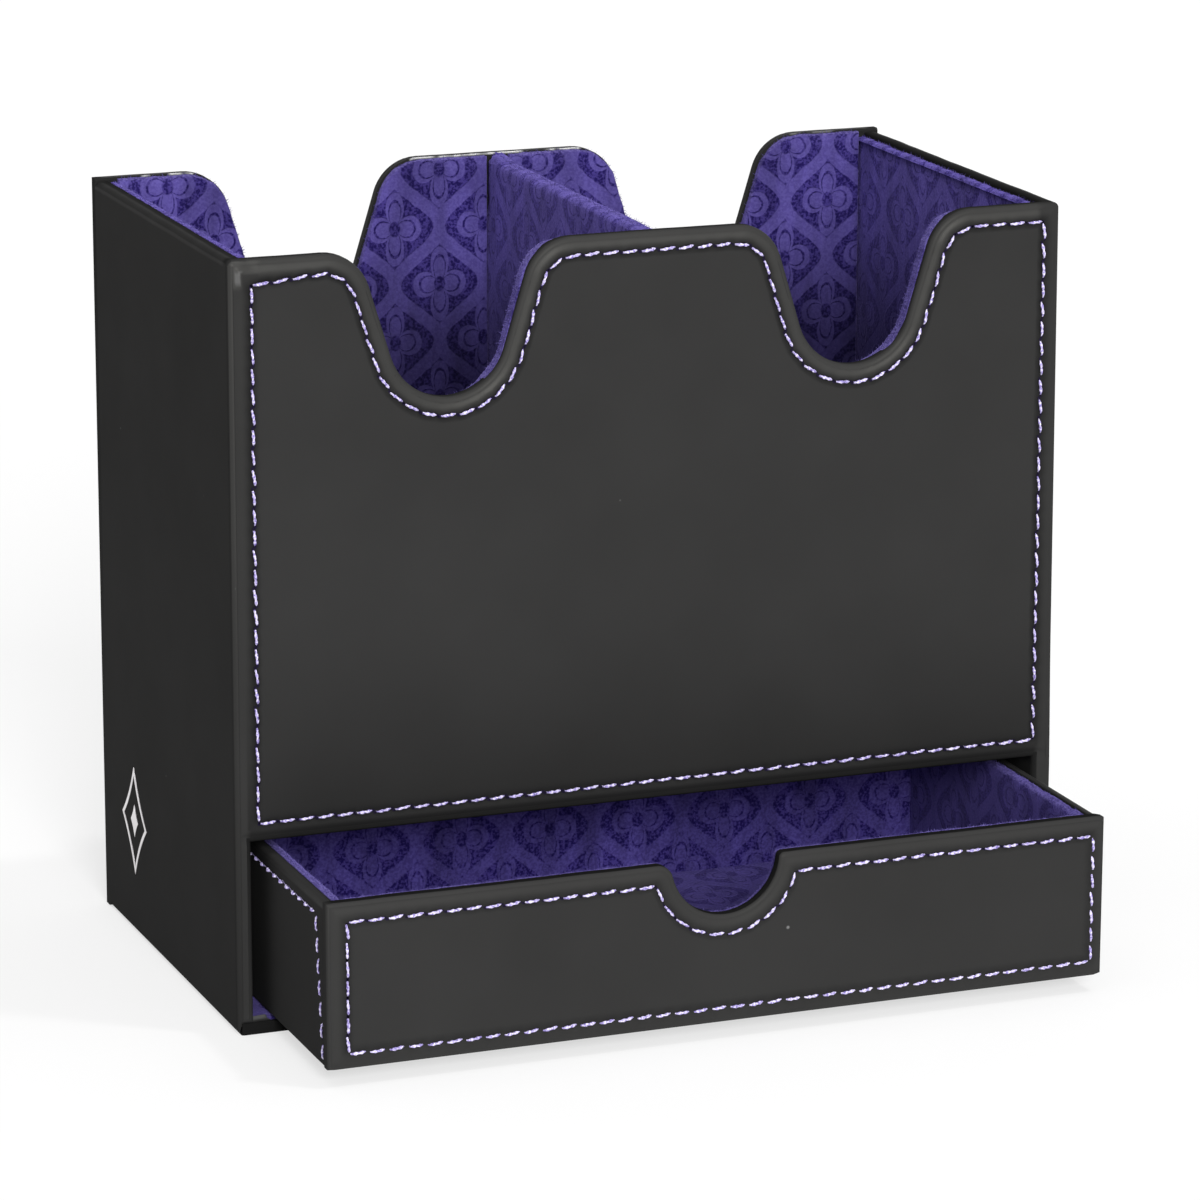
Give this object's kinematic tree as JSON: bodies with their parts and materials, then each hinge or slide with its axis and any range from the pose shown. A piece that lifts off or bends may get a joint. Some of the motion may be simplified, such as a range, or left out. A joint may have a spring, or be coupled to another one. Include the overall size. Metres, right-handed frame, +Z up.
{
  "type": "double deck box",
  "caption": "Open-topped leatherette box for two decks of cards with finger notches and a lined divider, over a shallow pull-out drawer.",
  "frame": {"origin": "middle of the housing's footprint, on the surface that the box stands on", "axes": "+X to the right as seen from the front, +Y to the back, +Z up; the drawer opens towards -Y"},
  "size_m": [0.1511, 0.1113, 0.1346],
  "materials": {
    "greyboard": "matte",
    "leatherette": "satin",
    "facing": "matte",
    "flocked_lining": "matte",
    "thread": "satin",
    "foil": "satin"
  },
  "bodies": {
    "housing": {"back_board": "greyboard", "back_cover": "leatherette", "base_board": "greyboard", "base_cover": "leatherette", "bay_back_facing": "facing", "bay_floor_lining": "flocked_lining", "bay_left_facing": "facing", "bay_right_facing": "facing", "bay_roof_facing": "facing", "deck_floor_board": "greyboard", "divider_board": "greyboard", "divider_lining": "flocked_lining", "foil_mark": "foil", "front_board": "greyboard", "front_stitching": "thread", "left_deck_back_lining": "flocked_lining", "left_deck_floor_lining": "flocked_lining", "left_deck_front_lining": "flocked_lining", "left_deck_side_lining": "flocked_lining", "left_side_board": "greyboard", "outer_wrap": "leatherette", "right_deck_back_lining": "flocked_lining", "right_deck_floor_lining": "flocked_lining", "right_deck_front_lining": "flocked_lining", "right_deck_side_lining": "flocked_lining", "right_side_board": "greyboard"},
    "drawer": {"drawer_back_board": "greyboard", "drawer_back_lining": "flocked_lining", "drawer_base_board": "greyboard", "drawer_base_cover": "leatherette", "drawer_floor_lining": "flocked_lining", "drawer_front_board": "greyboard", "drawer_front_cover": "leatherette", "drawer_front_lining": "flocked_lining", "drawer_front_stitching": "thread", "drawer_left_board": "greyboard", "drawer_left_lining": "flocked_lining", "drawer_left_stitching": "thread", "drawer_right_board": "greyboard", "drawer_right_lining": "flocked_lining", "drawer_right_stitching": "thread", "drawer_wrap": "leatherette"}
  },
  "joints": [
    {"name": "drawer_slide", "type": "slide", "parent": "housing", "child": "drawer", "axis": [0, -1, 0], "range_m": [-0.0306, 0.03]}
  ]
}
